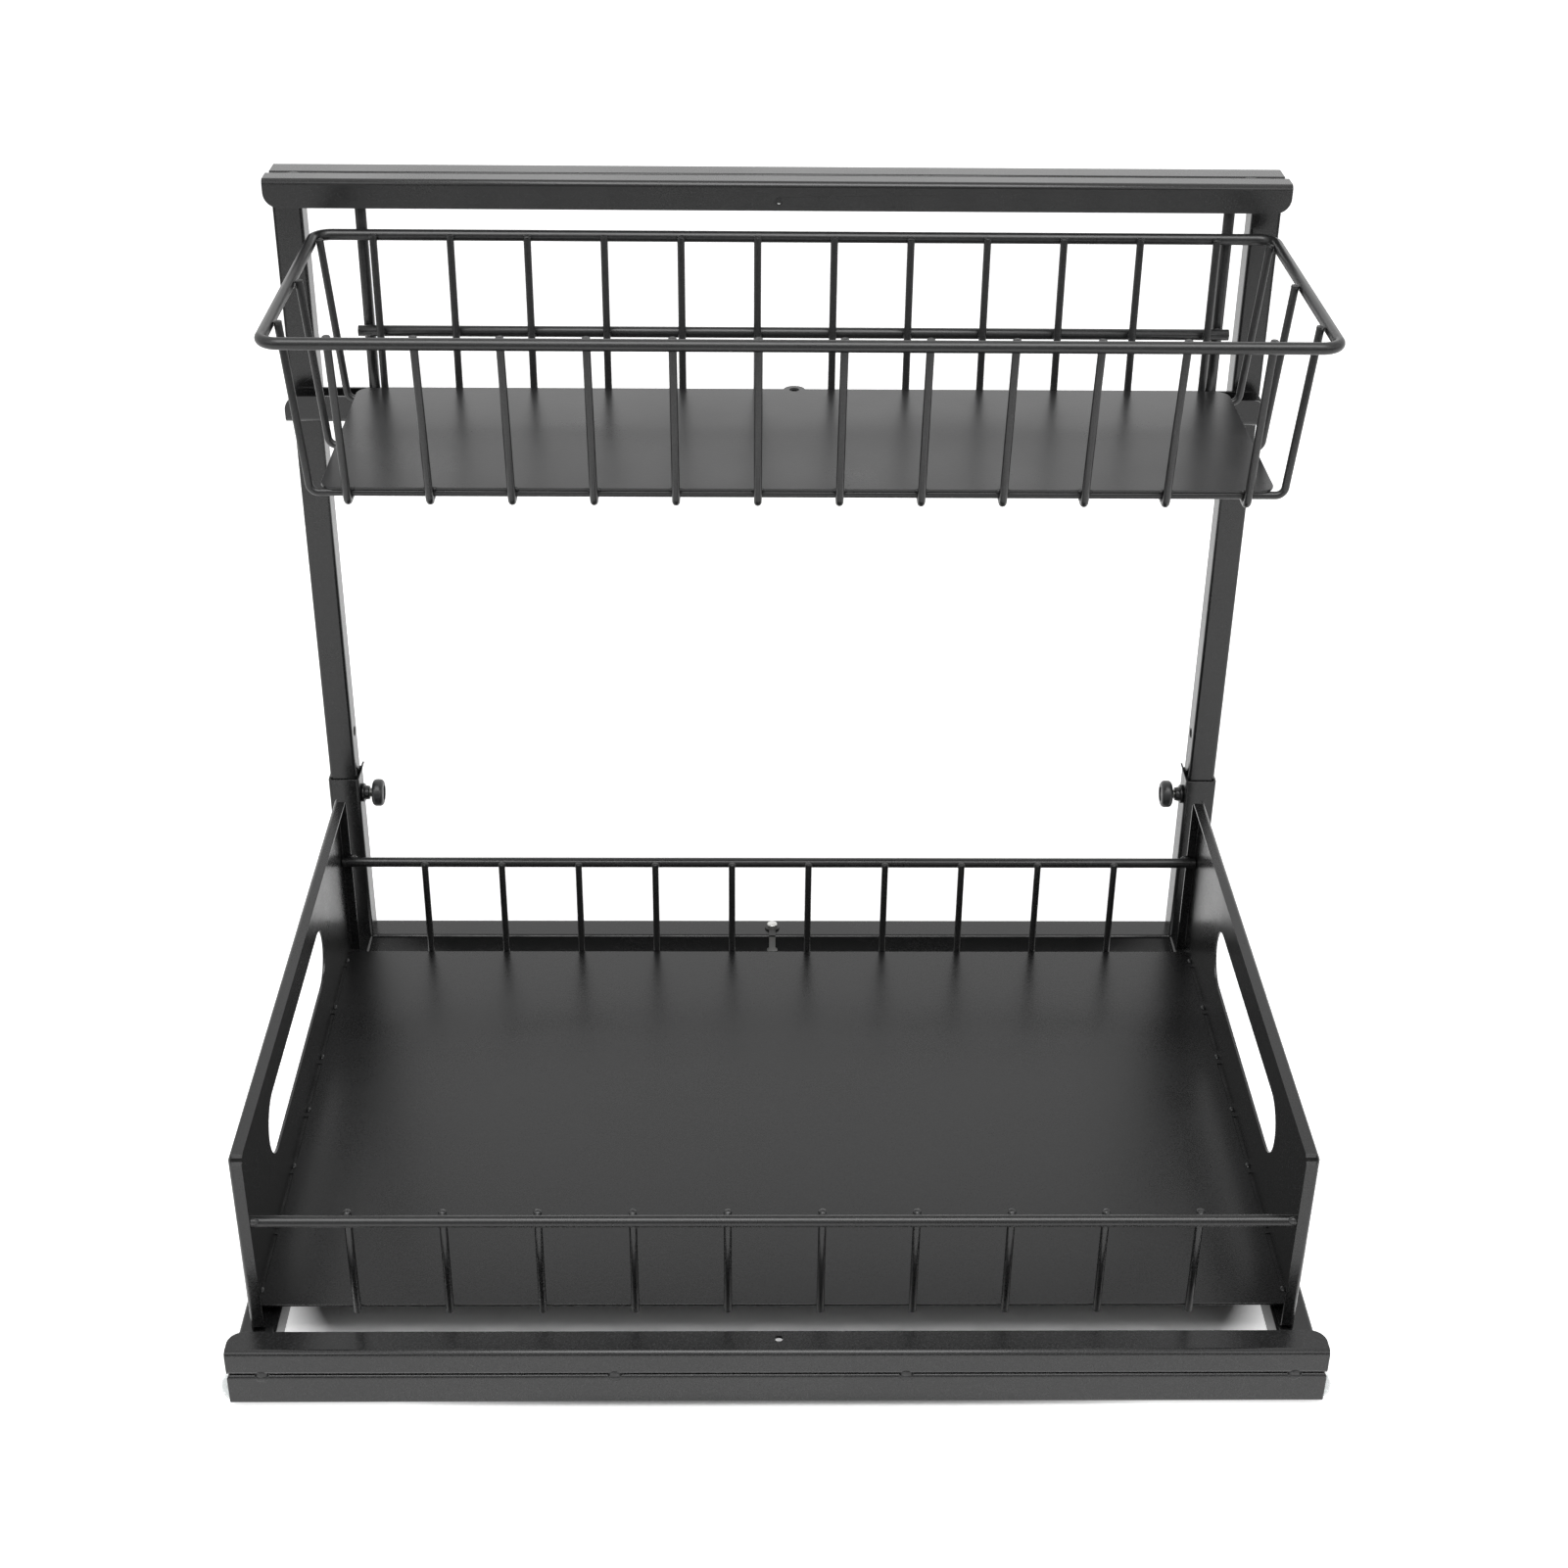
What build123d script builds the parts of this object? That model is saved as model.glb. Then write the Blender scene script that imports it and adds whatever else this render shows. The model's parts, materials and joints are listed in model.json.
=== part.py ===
"""Two-tier under sink organizer: a base ring of square tube, a lift-out sheet tray, and a height-adjustable
rear frame with a wire basket that slides sideways in two channels.

Millimetres, +Z up, -Y is the front. The origin is on the ground under the middle of the base.
"""
import os

from build123d import *

os.makedirs("parts", exist_ok=True)

# Base ring of square tube
frame_width = 410.0
base_depth = 305.5
ring_tube = 14.0
ring_wall = 1.0
ring_corner = 1.5
foot_gap = 2.0

# U-channel, one profile cut three times
channel_width = 11.4
channel_leg = 11.5
channel_sheet = 1.2
channel_bend = 1.0
channel_nose = 6.0
drain_hole = 3.0
drain_inset = 4.0

# Rear sleeves and the posts that slide in them
sleeve_wall = 0.9
sleeve_height = 100.0
slide_clearance = 0.1
post_wall = 1.0
post_corner = 1.2
post_toe = 12.6
post_hole = 4.6
hole_pitch = 32.6
post_hole_count = 3
overall_height = 383.2
channel_drop = 102.2

# Lead-in lip at the top of each sleeve
lip_rise = 5.0
lip_lean = 1.9
lip_width = 4.0
lip_sheet = 0.9

# Thumb screws and the nuts welded to the sleeves
screw_inset = 10.6
screw_diameter = 4.0
screw_bite = 1.2
tip_clearance = 0.3
tip_length = 0.8
tip_taper = 0.6
nut_height = 3.6
nut_flange = 8.7
nut_flange_height = 1.4
nut_body = 7.2
nut_taper = 8.0
nut_clearance = 0.05
knob_diameter = 12.6
knob_thickness = 5.2
knob_socket = 3.8
knob_round = 1.9
knob_dimple = 7.0
knob_dimple_depth = 0.5
knob_stop_gap = 0.1

# Suction cups under the ring's corners
cup_diameter = 19.8
cup_rim = 0.6
cup_hollow = 1.1
cup_crown = 9.0
cup_neck = 3.6
cup_head = 4.2
cup_head_height = 1.6
cup_outboard = 3.2
cup_front_inset = 13.0
cup_rear_inset = 20.0
cup_fit = 0.1

# Clip on the middle of the rear tube
clip_sheet = 0.8
clip_pad = 6.9
clip_leg_width = 3.0
clip_leg_drop = 8.4
clip_foot_width = 5.0
clip_foot_height = 1.6
clip_screw_head = 4.8
clip_screw_head_height = 1.8
clip_screw_head_round = 0.7
clip_screw_shank = 2.8
clip_screw_length = 6.0
clip_screw_fit = 0.1

# Wire and rod used by both the tray and the basket
rod_diameter = 4.5
wire_diameter = 3.0
weld_gap = 0.02
wire_nib = 2.0

# Lower tray, whose side panels stand on the side tubes
tray_side_inset = 6.5
tray_setback = 23.0
tray_rear_gap = 13.5
tray_offset = -1.5
tray_sheet = 1.0
panel_height = 84.1
panel_flange = 5.0
panel_bend = 1.5
relief_size = 4.2
slot_end_margin = 59.5
slot_height = 27.0
slot_rise = 44.6
tray_floor_rise = 5.1
floor_tab = 9.0
floor_tab_count = 7
floor_tab_margin = 16.5
floor_relief = 1.0
tab_clearance = 0.1
tray_rod_rise = 52.1
tray_wire_count = 10
tray_wire_margin = 39.65
tray_wire_toe = 0.5

# Upper basket
basket_offset = 7.0
basket_end_gap = 12.2
basket_floor_lift = 5.6
basket_floor_inset = 13.0
basket_floor_depth = 103.5
basket_floor_sheet = 1.0
basket_floor_corner = 6.0
ear_radius = 4.5
ear_hole = 4.0
rim_depth = 127.3
rim_corner = 7.0
rim_height = 62.7
cross_wire_count = 12
cross_wire_margin = 10.7
long_wire_bend = 3.5
long_wire_inset = 6.0
long_wire_middle_share = 0.48
upright_inset = 18.2
upright_play = 3.3
cross_rod_overhang = 4.0
cross_rod_rise = 22.6

# Places worked out from the sizes above
half_width = frame_width / 2
front_y = -base_depth / 2
rear_y = base_depth / 2
ring_bottom = foot_gap
ring_top = ring_bottom + ring_tube
ring_middle = ring_bottom + ring_tube / 2
sleeve_bore = ring_tube - 2 * sleeve_wall
post_tube = sleeve_bore - 2 * slide_clearance
sleeve_y = rear_y - ring_tube / 2
sleeve_front = rear_y - ring_tube
sleeve_x = half_width - ring_tube / 2
sleeve_top = ring_bottom + sleeve_height
post_front = sleeve_y - post_tube / 2
post_outer = sleeve_x + post_tube / 2
post_inner = sleeve_x - post_tube / 2
screw_z = sleeve_top - screw_inset
post_bottom = screw_z - hole_pitch - post_toe
channel_y = post_front - channel_width / 2
mid_channel_bottom = overall_height - channel_drop
mid_channel_top = mid_channel_bottom + channel_leg
tray_width = frame_width - 2 * tray_side_inset
tray_depth = base_depth - ring_tube - tray_setback - tray_rear_gap
rim_width = frame_width - 2 * basket_end_gap
basket_floor_width = rim_width - 2 * basket_floor_inset
upright_spacing = rim_width - 2 * upright_inset


def square_tube(start, length, size, wall, corner):
    """A straight square tube that starts on a plane and runs along its normal."""
    with BuildPart() as tube:
        with BuildSketch(start):
            RectangleRounded(size, size, corner)
            inside = size - 2 * wall
            RectangleRounded(inside, inside, max(corner - wall, wall / 4), mode=Mode.SUBTRACT)
        extrude(amount=length)
    return tube.part


def straight_bar(start, direction, length, diameter):
    """A round bar from a start point along a direction."""
    with BuildPart() as bar:
        with BuildSketch(Plane(origin=start, z_dir=direction)):
            Circle(diameter / 2)
        extrude(amount=length)
    return bar.part


def bent_bar(points, bend, diameter, closed=False):
    """A round bar swept along straight runs joined by bends."""
    with BuildPart() as bar:
        with BuildLine() as path:
            FilletPolyline(*points, radius=bend, close=closed)
        with BuildSketch(Plane(origin=path.line @ 0, z_dir=path.line % 0)):
            Circle(diameter / 2)
        sweep()
    return bar.part


def copies(bar, places):
    """The same bar at several places, as separate solids of one piece group."""
    with BuildPart() as group:
        with Locations(*places):
            add(bar)
    return group.part


def write(piece, name):
    """Label a finished piece and save it as a STEP file."""
    piece.label = name
    export_step(piece, f"parts/{name}.step")


# Front tube of the ring, mitred at both ends
with BuildPart() as front_tube:
    add(square_tube(Plane(origin=(-half_width, front_y + ring_tube / 2, ring_middle), x_dir=(0, 1, 0),
                          z_dir=(1, 0, 0)), frame_width, ring_tube, ring_wall, ring_corner))
    for side in (-1, 1):
        split(bisect_by=Plane(origin=(side * half_width, front_y, 0), z_dir=(-side, -1, 0)), keep=Keep.TOP)
write(front_tube.part, "front_tube")

# Side tubes of the ring, mitred to the front tube, butted against the sleeves, with a hole over each cup
cup_x = sleeve_x + cup_outboard
cup_places_y = (front_y + cup_front_inset, rear_y - cup_rear_inset)
for side, name in ((-1, "left_side_tube"), (1, "right_side_tube")):
    with BuildPart() as side_tube:
        add(square_tube(Plane(origin=(side * sleeve_x, front_y, ring_middle), z_dir=(0, 1, 0)),
                        base_depth - ring_tube, ring_tube, ring_wall, ring_corner))
        split(bisect_by=Plane(origin=(side * half_width, front_y, 0), z_dir=(side, 1, 0)), keep=Keep.TOP)
        with BuildSketch(Plane.XY.offset(ring_bottom)):
            with Locations(*[(side * cup_x, y) for y in cup_places_y]):
                Circle(cup_neck / 2 + cup_fit)
        extrude(amount=ring_wall, mode=Mode.SUBTRACT)
    write(side_tube.part, name)

# Rear tube of the ring, between the sleeves, with a hole for the clip's screw
rear_span = frame_width - 2 * ring_tube
with BuildPart() as rear_tube:
    add(square_tube(Plane(origin=(-rear_span / 2, sleeve_y, ring_middle), x_dir=(0, 1, 0), z_dir=(1, 0, 0)),
                    rear_span, ring_tube, ring_wall, ring_corner))
    with BuildSketch(Plane.XY.offset(ring_top)):
        with Locations((0, sleeve_y)):
            Circle(clip_screw_shank / 2 + clip_screw_fit)
    extrude(amount=-ring_wall, mode=Mode.SUBTRACT)
write(rear_tube.part, "rear_tube")

# Strap clip over the middle of the rear tube: a round pad on top and a narrow leg down the front face
with BuildPart() as rear_clip:
    with BuildSketch(Plane.XY.offset(ring_top)):
        with Locations((0, sleeve_y)):
            Circle(clip_pad / 2)
        with Locations((0, (sleeve_y + sleeve_front - clip_sheet) / 2)):
            Rectangle(clip_leg_width, sleeve_y - sleeve_front + clip_sheet)
        with Locations((0, sleeve_y)):
            Circle(clip_screw_shank / 2 + clip_screw_fit, mode=Mode.SUBTRACT)
    extrude(amount=clip_sheet)
    with BuildSketch(Plane.XZ.offset(-sleeve_front)):
        with Locations((0, ring_top - clip_leg_drop / 2)):
            Rectangle(clip_leg_width, clip_leg_drop)
        with Locations((0, ring_top - clip_leg_drop + clip_foot_height / 2)):
            SlotOverall(clip_foot_width, clip_foot_height)
    extrude(amount=clip_sheet)
write(rear_clip.part, "rear_clip")

# Self-tapping screw that holds the clip
with BuildPart() as clip_screw:
    with BuildSketch(Plane.XY.offset(ring_top + clip_sheet)):
        with Locations((0, sleeve_y)):
            Circle(clip_screw_head / 2)
    extrude(amount=clip_screw_head_height)
    fillet(clip_screw.edges().sort_by(Axis.Z)[-1], clip_screw_head_round)
    with BuildSketch(Plane.XY.offset(ring_top + clip_sheet)):
        with Locations((0, sleeve_y)):
            Circle(clip_screw_shank / 2)
    extrude(amount=-clip_screw_length)
write(clip_screw.part, "clip_screw")


def channel(end):
    """A folded U-channel: it starts on the end plane, its legs point along the plane's y."""
    with BuildPart() as body:
        with BuildSketch(end) as profile:
            with Locations((0, channel_leg / 2)):
                Rectangle(channel_width, channel_leg)
            fillet(profile.vertices().group_by(Axis.Y)[0], channel_sheet + channel_bend)
            with BuildSketch(mode=Mode.PRIVATE) as hollow:
                with Locations((0, channel_sheet + channel_leg / 2)):
                    Rectangle(channel_width - 2 * channel_sheet, channel_leg)
                fillet(hollow.vertices().group_by(Axis.Y)[0], channel_bend)
            add(hollow.sketch, mode=Mode.SUBTRACT)
        extrude(amount=frame_width)
        across = body.edges().filter_by(Axis((0, 0, 0), end.x_dir))
        fillet(across.group_by(SortBy.LENGTH)[0], channel_nose)
        hole_centre = end.from_local_coords((-channel_width / 2, channel_leg - drain_inset, frame_width / 2))
        with BuildSketch(Plane(origin=hole_centre, z_dir=end.x_dir)):
            Circle(drain_hole / 2)
        extrude(amount=channel_sheet, mode=Mode.SUBTRACT)
    return body.part


# Front channel lies on the front tube and opens to the rear
write(channel(Plane(origin=(-half_width, front_y, ring_top + channel_width / 2), x_dir=(0, 0, -1),
                    z_dir=(1, 0, 0))), "front_channel")

# Middle channel opens upward in front of the posts and carries the basket
write(channel(Plane(origin=(-half_width, channel_y, mid_channel_bottom), x_dir=(0, 1, 0), z_dir=(1, 0, 0))),
      "mid_channel")

# Top channel opens downward and guides the basket's uprights
write(channel(Plane(origin=(half_width, channel_y, overall_height), x_dir=(0, 1, 0), z_dir=(-1, 0, 0))),
      "top_channel")

# Sleeves: the ring's rear corner posts, open at the top, with a lead-in lip on the inner side
for side, name in ((-1, "left_sleeve"), (1, "right_sleeve")):
    inner_face = side * (half_width - ring_tube)
    with BuildPart() as sleeve:
        with BuildSketch(Plane.XY.offset(ring_bottom)):
            with Locations((side * sleeve_x, sleeve_y)):
                RectangleRounded(ring_tube, ring_tube, ring_corner)
                RectangleRounded(sleeve_bore, sleeve_bore, ring_corner / 2, mode=Mode.SUBTRACT)
        extrude(amount=sleeve_height)
        with BuildSketch(Plane.XZ.offset(-sleeve_y)):
            with BuildLine():
                Polyline((inner_face, sleeve_top), (inner_face + side * lip_sheet, sleeve_top),
                         (inner_face + side * (lip_sheet - lip_lean), sleeve_top + lip_rise),
                         (inner_face - side * lip_lean, sleeve_top + lip_rise), close=True)
            make_face()
        extrude(amount=lip_width / 2, both=True)
        with BuildSketch(Plane(origin=(inner_face, sleeve_y, screw_z), z_dir=(side, 0, 0))):
            Circle(screw_diameter / 2 + nut_clearance)
        extrude(amount=sleeve_wall, mode=Mode.SUBTRACT)
    write(sleeve.part, name)

# Nuts welded to the inner sides of the sleeves
nut_face = half_width - ring_tube - nut_height
for side, name in ((-1, "left_weld_nut"), (1, "right_weld_nut")):
    seat = Plane(origin=(side * (half_width - ring_tube), sleeve_y, screw_z), z_dir=(-side, 0, 0))
    with BuildPart() as nut:
        with BuildSketch(seat):
            Circle(nut_flange / 2)
        extrude(amount=nut_flange_height)
        with BuildSketch(seat):
            Circle(nut_body / 2)
        extrude(amount=nut_height, taper=nut_taper)
        with BuildSketch(seat):
            Circle(screw_diameter / 2 + nut_clearance)
        extrude(amount=nut_height, mode=Mode.SUBTRACT)
    write(nut.part, name)

# Thumb screws stand one bite short of home, with the tip just clear of the post
tip_x = post_inner - tip_clearance
knob_face = nut_face - screw_bite - knob_stop_gap
shank_end = knob_face - knob_socket
for side, name in ((-1, "left_thumb_screw"), (1, "right_thumb_screw")):
    with BuildPart() as screw:
        with BuildSketch(Plane(origin=(side * shank_end, sleeve_y, screw_z), z_dir=(side, 0, 0))):
            Circle(screw_diameter / 2)
        extrude(amount=tip_x - shank_end)
        tip_edge = screw.edges().sort_by(Axis.X)[0 if side < 0 else -1]
        chamfer(tip_edge, length=tip_length, length2=tip_taper)
    write(screw.part, name)

# Moulded knobs on the thumb screws
for side, name in ((-1, "left_knob"), (1, "right_knob")):
    inner_plane = Plane(origin=(side * knob_face, sleeve_y, screw_z), z_dir=(-side, 0, 0))
    outer_plane = inner_plane.offset(knob_thickness)
    with BuildPart() as knob:
        with BuildSketch(inner_plane):
            Circle(knob_diameter / 2)
        extrude(amount=knob_thickness)
        fillet(knob.edges(), knob_round)
        with BuildSketch(outer_plane):
            Circle(knob_dimple / 2)
        extrude(amount=-knob_dimple_depth, mode=Mode.SUBTRACT)
        with BuildSketch(inner_plane):
            Circle(screw_diameter / 2 + nut_clearance)
        extrude(amount=knob_socket, mode=Mode.SUBTRACT)
    write(knob.part, name)

# Suction cups: a thin skirt on the ground, a neck through the tube's lower wall and a retaining head
cup_names = {(-1, 0): "front_left_cup", (1, 0): "front_right_cup",
             (-1, 1): "rear_left_cup", (1, 1): "rear_right_cup"}
for (side, end), name in cup_names.items():
    cup_centre = (side * cup_x, cup_places_y[end])
    with BuildPart() as cup:
        with BuildSketch(Plane(origin=(cup_centre[0], cup_centre[1], 0), x_dir=(1, 0, 0), z_dir=(0, -1, 0))):
            with BuildLine():
                Polyline((0, cup_hollow), (cup_diameter / 2 - cup_rim, 0), (cup_diameter / 2, 0),
                         (cup_diameter / 2, cup_rim), (cup_crown / 2, foot_gap), (cup_neck / 2, foot_gap),
                         (cup_neck / 2, foot_gap + ring_wall), (cup_head / 2, foot_gap + ring_wall),
                         (cup_head / 2, foot_gap + ring_wall + cup_head_height / 2),
                         (cup_neck / 2, foot_gap + ring_wall + cup_head_height),
                         (0, foot_gap + ring_wall + cup_head_height), close=True)
            make_face()
        revolve(axis=Axis((cup_centre[0], cup_centre[1], 0), (0, 0, 1)))
    write(cup.part, name)

# Posts of the upper frame, mitred to the top tube, with height holes on their inner sides
for side, name in ((-1, "left_post"), (1, "right_post")):
    with BuildPart() as post:
        add(square_tube(Plane(origin=(side * sleeve_x, sleeve_y, post_bottom)), overall_height - post_bottom,
                        post_tube, post_wall, post_corner))
        mitre = Plane(origin=(side * post_outer, 0, overall_height), z_dir=(side, 0, -1))
        split(bisect_by=mitre, keep=Keep.TOP)
        middle_hole = (side * post_inner, sleeve_y, screw_z)
        with BuildSketch(Plane(origin=middle_hole, x_dir=(0, 0, 1), z_dir=(side, 0, 0))):
            with GridLocations(hole_pitch, 0, post_hole_count, 1):
                Circle(post_hole / 2)
        extrude(amount=post_wall, mode=Mode.SUBTRACT)
    write(post.part, name)

# Top tube, mitred to the posts
with BuildPart() as top_tube:
    add(square_tube(Plane(origin=(-post_outer, sleeve_y, overall_height - post_tube / 2), x_dir=(0, 1, 0),
                          z_dir=(1, 0, 0)), 2 * post_outer, post_tube, post_wall, post_corner))
    for side in (-1, 1):
        mitre = Plane(origin=(side * post_outer, 0, overall_height), z_dir=(-side, 0, 1))
        split(bisect_by=mitre, keep=Keep.TOP)
write(top_tube.part, "top_tube")

# Side panels of the tray: folded pans with flanges all round, corner reliefs, a hand slot and floor tab slots
tray_front = front_y + tray_setback
tray_rear = tray_front + tray_depth
tray_middle_y = (tray_front + tray_rear) / 2
panel_middle_z = ring_top + panel_height / 2
slot_length = tray_depth - 2 * slot_end_margin
floor_tab_pitch = (tray_depth - 2 * floor_tab_margin) / (floor_tab_count - 1)
tray_floor_bottom = ring_top + tray_floor_rise
for side, name in ((-1, "left_side_panel"), (1, "right_side_panel")):
    outer_face = tray_offset + side * tray_width / 2
    outside = Plane(origin=(outer_face, tray_middle_y, panel_middle_z), x_dir=(0, 1, 0), z_dir=(-side, 0, 0))
    up = 1 if side < 0 else -1
    with BuildPart() as panel:
        with BuildSketch(outside):
            Rectangle(tray_depth, panel_height)
        extrude(amount=panel_flange)
        fillet(panel.faces().sort_by(Axis.X)[0 if side < 0 else -1].edges(), panel_bend)
        offset(amount=-tray_sheet, openings=panel.faces().sort_by(Axis.X)[-1 if side < 0 else 0])
        with BuildSketch(outside.offset(tray_sheet)):
            with GridLocations(tray_depth, panel_height, 2, 2):
                Rectangle(relief_size, relief_size, rotation=45)
        extrude(amount=panel_flange, mode=Mode.SUBTRACT)
        with BuildSketch(outside):
            with Locations((0, up * (slot_rise - panel_height / 2))):
                SlotOverall(slot_length, slot_height)
            with Locations((0, up * (tray_floor_rise + tray_sheet / 2 - panel_height / 2))):
                with GridLocations(floor_tab_pitch, 0, floor_tab_count, 1):
                    Rectangle(floor_tab + 2 * tab_clearance, tray_sheet + 2 * tab_clearance)
        extrude(amount=tray_sheet, mode=Mode.SUBTRACT)
    write(panel.part, name)

# Rods across the tray's ends, behind the panels' front and rear flanges
tray_inner_width = tray_width - 2 * tray_sheet
tray_rod_z = ring_top + tray_rod_rise
front_rod_y = tray_front + tray_sheet + rod_diameter / 2
rear_rod_y = tray_rear - tray_sheet - rod_diameter / 2
tray_rod_length = tray_inner_width - 2 * (panel_bend - tray_sheet)
for name, rod_y in (("tray_front_rod", front_rod_y), ("tray_rear_rod", rear_rod_y)):
    write(straight_bar((tray_offset - tray_rod_length / 2, rod_y, tray_rod_z), (1, 0, 0), tray_rod_length,
                       rod_diameter), name)

# Short uprights between each rod and the floor's edge
wire_step = (rod_diameter + wire_diameter) / 2 + weld_gap
front_wire_y = front_rod_y + wire_step
rear_wire_y = rear_rod_y - wire_step
tray_wire_bottom = tray_floor_bottom - tray_wire_toe
tray_wire_length = tray_rod_z + rod_diameter / 2 + wire_nib - tray_wire_bottom
tray_wire = straight_bar((0, 0, tray_wire_bottom), (0, 0, 1), tray_wire_length, wire_diameter)
tray_wire_pitch = (tray_width - 2 * tray_wire_margin) / (tray_wire_count - 1)
tray_columns = [tray_offset + (i - (tray_wire_count - 1) / 2) * tray_wire_pitch
                for i in range(tray_wire_count)]
for name, wire_y in (("tray_front_wires", front_wire_y), ("tray_rear_wires", rear_wire_y)):
    write(copies(tray_wire, [(x, wire_y, 0) for x in tray_columns]), name)

# Tray floor, with welded tabs in the panels' slots
tray_floor_front = front_wire_y + wire_diameter / 2 + weld_gap
tray_floor_rear = rear_wire_y - wire_diameter / 2 - weld_gap
with BuildPart() as tray_floor:
    with BuildSketch(Plane.XY.offset(tray_floor_bottom)):
        with Locations((tray_offset, (tray_floor_front + tray_floor_rear) / 2)):
            Rectangle(tray_inner_width - 2 * floor_relief, tray_floor_rear - tray_floor_front)
        with Locations((tray_offset, tray_middle_y)):
            with GridLocations(0, floor_tab_pitch, 1, floor_tab_count):
                Rectangle(tray_width, floor_tab)
    extrude(amount=tray_sheet)
write(tray_floor.part, "tray_floor")

# Rim of the basket, behind it the uprights, in front of it the wires
upright_y = channel_y
rim_rear_y = upright_y - rod_diameter - weld_gap
rim_front_y = rim_rear_y - rim_depth
basket_floor_bottom = mid_channel_top + basket_floor_lift - basket_floor_sheet
basket_floor_top = basket_floor_bottom + basket_floor_sheet
rim_z = basket_floor_top + rim_height
rim_left = basket_offset - rim_width / 2
rim_right = basket_offset + rim_width / 2
rim_corners = [(rim_left, rim_rear_y, rim_z), (rim_left, rim_front_y, rim_z), (rim_right, rim_front_y, rim_z),
               (rim_right, rim_rear_y, rim_z)]
write(bent_bar(rim_corners, rim_corner, rod_diameter, closed=True), "basket_rim")

# Cross wires run down the rear, under the floor and up the flared front
rear_leg_y = rim_rear_y - wire_step
floor_rear_y = rear_leg_y - wire_diameter / 2 - weld_gap
floor_front_y = floor_rear_y - basket_floor_depth
front_leg_y = floor_front_y - wire_diameter / 2 - weld_gap
front_leg_top_y = rim_front_y + wire_step
wire_top = rim_z + rod_diameter / 2 + weld_gap
long_wire_z = basket_floor_bottom - wire_diameter / 2 - weld_gap
cross_wire_z = long_wire_z - wire_diameter - weld_gap
cross_points = [(0, rear_leg_y, wire_top), (0, rear_leg_y, cross_wire_z), (0, front_leg_y, cross_wire_z),
                (0, front_leg_top_y, wire_top)]
cross_wire = bent_bar(cross_points, wire_diameter + weld_gap, wire_diameter)
cross_wire_pitch = (basket_floor_width - 2 * cross_wire_margin) / (cross_wire_count - 1)
cross_columns = [basket_offset + (i - (cross_wire_count - 1) / 2) * cross_wire_pitch
                 for i in range(cross_wire_count)]
write(copies(cross_wire, [(x, 0, 0) for x in cross_columns]), "basket_cross_wires")

# Long wires run under the floor and up the flared ends
foot_half = basket_floor_width / 2 + long_wire_bend
top_half = rim_width / 2 - wire_step
long_front_y = floor_front_y + wire_diameter / 2
long_rear_y = floor_rear_y - long_wire_inset
long_middle_y = long_front_y + long_wire_middle_share * (long_rear_y - long_front_y)
long_wire = bent_bar([(basket_offset - top_half, 0, wire_top), (basket_offset - foot_half, 0, long_wire_z),
                      (basket_offset + foot_half, 0, long_wire_z), (basket_offset + top_half, 0, wire_top)],
                     long_wire_bend, wire_diameter)
for name, wire_y in (("front_long_wire", long_front_y), ("middle_long_wire", long_middle_y),
                     ("rear_long_wire", long_rear_y)):
    write(copies(long_wire, [(0, wire_y, 0)]), name)

# Basket floor sheet with a holed ear in the middle of its rear edge
with BuildPart() as basket_floor:
    with BuildSketch(Plane.XY.offset(basket_floor_bottom)):
        with Locations((basket_offset, (floor_front_y + floor_rear_y) / 2)):
            RectangleRounded(basket_floor_width, basket_floor_depth, basket_floor_corner)
        with Locations((basket_offset, floor_rear_y)):
            Circle(ear_radius)
            Circle(ear_hole / 2, mode=Mode.SUBTRACT)
    extrude(amount=basket_floor_sheet)
write(basket_floor.part, "basket_floor")

# Rod across the basket's back and the two uprights that ride in the channels
cross_rod_z = basket_floor_top + cross_rod_rise
cross_rod_length = upright_spacing + 2 * cross_rod_overhang
cross_rod_start = (basket_offset - cross_rod_length / 2, rim_rear_y, cross_rod_z)
write(straight_bar(cross_rod_start, (1, 0, 0), cross_rod_length, rod_diameter), "basket_cross_rod")
upright_bottom = mid_channel_bottom + channel_sheet
upright_length = overall_height - channel_sheet - upright_play - upright_bottom
for side, name in ((-1, "left_upright"), (1, "right_upright")):
    write(straight_bar((basket_offset + side * upright_spacing / 2, upright_y, upright_bottom), (0, 0, 1),
                       upright_length, rod_diameter), name)
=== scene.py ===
"""Looks for the under sink organizer: powder coat, weld beads, clear suction cups and studio light.

Metres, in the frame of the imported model: +Z is up, -Y is the front, and the origin lies on the
floor under the base.
"""
import json
import math

import bmesh
import bpy
from mathutils import Matrix, Vector, noise


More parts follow.
